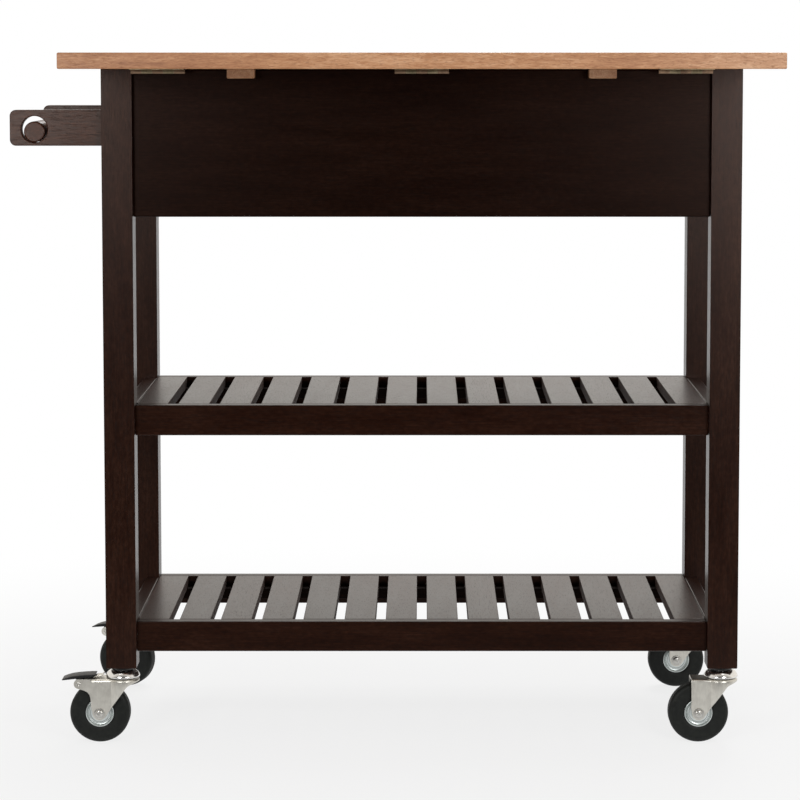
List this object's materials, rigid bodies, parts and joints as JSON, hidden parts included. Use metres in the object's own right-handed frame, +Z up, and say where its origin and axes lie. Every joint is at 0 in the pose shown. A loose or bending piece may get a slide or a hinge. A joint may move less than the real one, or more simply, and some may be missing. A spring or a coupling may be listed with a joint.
{
  "type": "drop leaf kitchen island",
  "caption": "Rolling kitchen island with a drop leaf on slide-out supports, drawers, slatted shelves, a side towel bar and locking swivel casters.",
  "frame": {"origin": "middle of the footprint's bounding box, on the floor", "axes": "+Z up; -Y is the leaf side that the picture shows, +Y the drawer side; -X is the towel bar's side"},
  "size_m": [0.9342, 0.6284, 0.8695],
  "materials": {
    "dark_wood": "semi-gloss espresso lacquer",
    "pale_wood": "clear satin lacquer on pinkish hardwood",
    "drawer_wood": "bare sanded",
    "hinge_brass": "dulled plate",
    "knob_nickel": "satin nickel",
    "zinc": "bright zinc plate",
    "tyre": "matt black rubber",
    "brake_plastic": "moulded black"
  },
  "bodies": {
    "frame": {"leg_front_left": "dark_wood", "leg_front_right": "dark_wood", "leg_back_left": "dark_wood", "leg_back_right": "dark_wood", "apron_panel": "dark_wood", "side_panel_left": "dark_wood", "side_panel_right": "dark_wood", "drawer_rail": "dark_wood", "fixed_top": "pale_wood", "drawer_divider": "drawer_wood", "drawer_runner_left": "drawer_wood", "drawer_runner_right": "drawer_wood", "support_guide_left": "drawer_wood", "support_guide_right": "drawer_wood", "hinge_left_top_plate": "hinge_brass", "hinge_centre_top_plate": "hinge_brass", "hinge_right_top_plate": "hinge_brass", "middle_shelf_front_rail": "dark_wood", "middle_shelf_back_rail": "dark_wood", "middle_shelf_left_rail": "dark_wood", "middle_shelf_right_rail": "dark_wood", "middle_shelf_slats": "dark_wood", "lower_shelf_front_rail": "dark_wood", "lower_shelf_back_rail": "dark_wood", "lower_shelf_left_rail": "dark_wood", "lower_shelf_right_rail": "dark_wood", "lower_shelf_slats": "dark_wood", "towel_bracket_front": "dark_wood", "towel_bracket_back": "dark_wood", "caster_front_left_stem": "zinc", "caster_front_right_stem": "zinc", "caster_back_left_stem": "zinc", "caster_back_right_stem": "zinc"},
    "leaf": {"drop_leaf": "pale_wood", "hinge_left_leaf_plate": "hinge_brass", "hinge_centre_leaf_plate": "hinge_brass", "hinge_right_leaf_plate": "hinge_brass"},
    "leaf_support_left": {"leaf_support_left": "pale_wood"},
    "drawer_left": {"drawer_front_left": "dark_wood", "drawer_box_left": "drawer_wood", "drawer_knob_left": "knob_nickel"},
    "leaf_support_right": {"leaf_support_right": "pale_wood"},
    "drawer_right": {"drawer_front_right": "dark_wood", "drawer_box_right": "drawer_wood", "drawer_knob_right": "knob_nickel"},
    "towel_bar": {"towel_bar": "dark_wood"},
    "caster_front_left_swivel": {"caster_front_left_fork": "zinc"},
    "caster_front_left_wheel": {"caster_front_left_hub": "zinc", "caster_front_left_tyre": "tyre"},
    "caster_front_left_brake": {"caster_front_left_brake": "brake_plastic"},
    "caster_front_right_swivel": {"caster_front_right_fork": "zinc"},
    "caster_front_right_wheel": {"caster_front_right_hub": "zinc", "caster_front_right_tyre": "tyre"},
    "caster_back_left_swivel": {"caster_back_left_fork": "zinc"},
    "caster_back_left_wheel": {"caster_back_left_hub": "zinc", "caster_back_left_tyre": "tyre"},
    "caster_back_left_brake": {"caster_back_left_brake": "brake_plastic"},
    "caster_back_right_swivel": {"caster_back_right_fork": "zinc"},
    "caster_back_right_wheel": {"caster_back_right_hub": "zinc", "caster_back_right_tyre": "tyre"}
  },
  "joints": [
    {"name": "leaf_hinge", "type": "hinge", "parent": "frame", "child": "leaf", "pos_m": [0.0451, -0.09085, 0.8466], "axis": [-1, 0, 0], "range_deg": [-90, 0]},
    {"name": "leaf_support_left_slide", "type": "slide", "parent": "frame", "child": "leaf_support_left", "axis": [0, -1, 0], "range_m": [0, 0.15]},
    {"name": "leaf_support_right_slide", "type": "slide", "parent": "frame", "child": "leaf_support_right", "axis": [0, -1, 0], "range_m": [0, 0.15]},
    {"name": "drawer_left_slide", "type": "slide", "parent": "frame", "child": "drawer_left", "axis": [0, 1, 0], "range_m": [0, 0.2]},
    {"name": "drawer_right_slide", "type": "slide", "parent": "frame", "child": "drawer_right", "axis": [0, 1, 0], "range_m": [0, 0.2]},
    {"name": "towel_bar_turn", "type": "hinge", "parent": "frame", "child": "towel_bar", "pos_m": [-0.4366, 0.11065, 0.77125], "axis": [0, 1, 0], "continuous": true},
    {"name": "caster_front_left_swivel_turn", "type": "hinge", "parent": "frame", "child": "caster_front_left_swivel", "pos_m": [-0.3334, -0.05385, 0.08], "axis": [0, 0, 1], "continuous": true},
    {"name": "caster_front_left_wheel_spin", "type": "hinge", "parent": "caster_front_left_swivel", "child": "caster_front_left_wheel", "pos_m": [-0.3621, -0.05385, 0.038], "axis": [0, 1, 0], "continuous": true},
    {"name": "caster_front_left_brake_press", "type": "hinge", "parent": "caster_front_left_swivel", "child": "caster_front_left_brake", "pos_m": [-0.3881, -0.05385, 0.0758], "axis": [0, -1, 0], "range_deg": [0, 25]},
    {"name": "caster_front_right_swivel_turn", "type": "hinge", "parent": "frame", "child": "caster_front_right_swivel", "pos_m": [0.4236, -0.05385, 0.08], "axis": [0, 0, 1], "continuous": true},
    {"name": "caster_front_right_wheel_spin", "type": "hinge", "parent": "caster_front_right_swivel", "child": "caster_front_right_wheel", "pos_m": [0.3949, -0.05385, 0.038], "axis": [0, 1, 0], "continuous": true},
    {"name": "caster_back_left_swivel_turn", "type": "hinge", "parent": "frame", "child": "caster_back_left_swivel", "pos_m": [-0.3334, 0.27515, 0.08], "axis": [0, 0, 1], "continuous": true},
    {"name": "caster_back_left_wheel_spin", "type": "hinge", "parent": "caster_back_left_swivel", "child": "caster_back_left_wheel", "pos_m": [-0.36125, 0.28209, 0.038], "axis": [0.2419, 0.9703, 0], "continuous": true},
    {"name": "caster_back_left_brake_press", "type": "hinge", "parent": "caster_back_left_swivel", "child": "caster_back_left_brake", "pos_m": [-0.38648, 0.28838, 0.0758], "axis": [-0.2419, -0.9703, 0], "range_deg": [0, 25]},
    {"name": "caster_back_right_swivel_turn", "type": "hinge", "parent": "frame", "child": "caster_back_right_swivel", "pos_m": [0.4236, 0.27515, 0.08], "axis": [0, 0, 1], "continuous": true},
    {"name": "caster_back_right_wheel_spin", "type": "hinge", "parent": "caster_back_right_swivel", "child": "caster_back_right_wheel", "pos_m": [0.3949, 0.27515, 0.038], "axis": [0, 1, 0], "continuous": true}
  ]
}
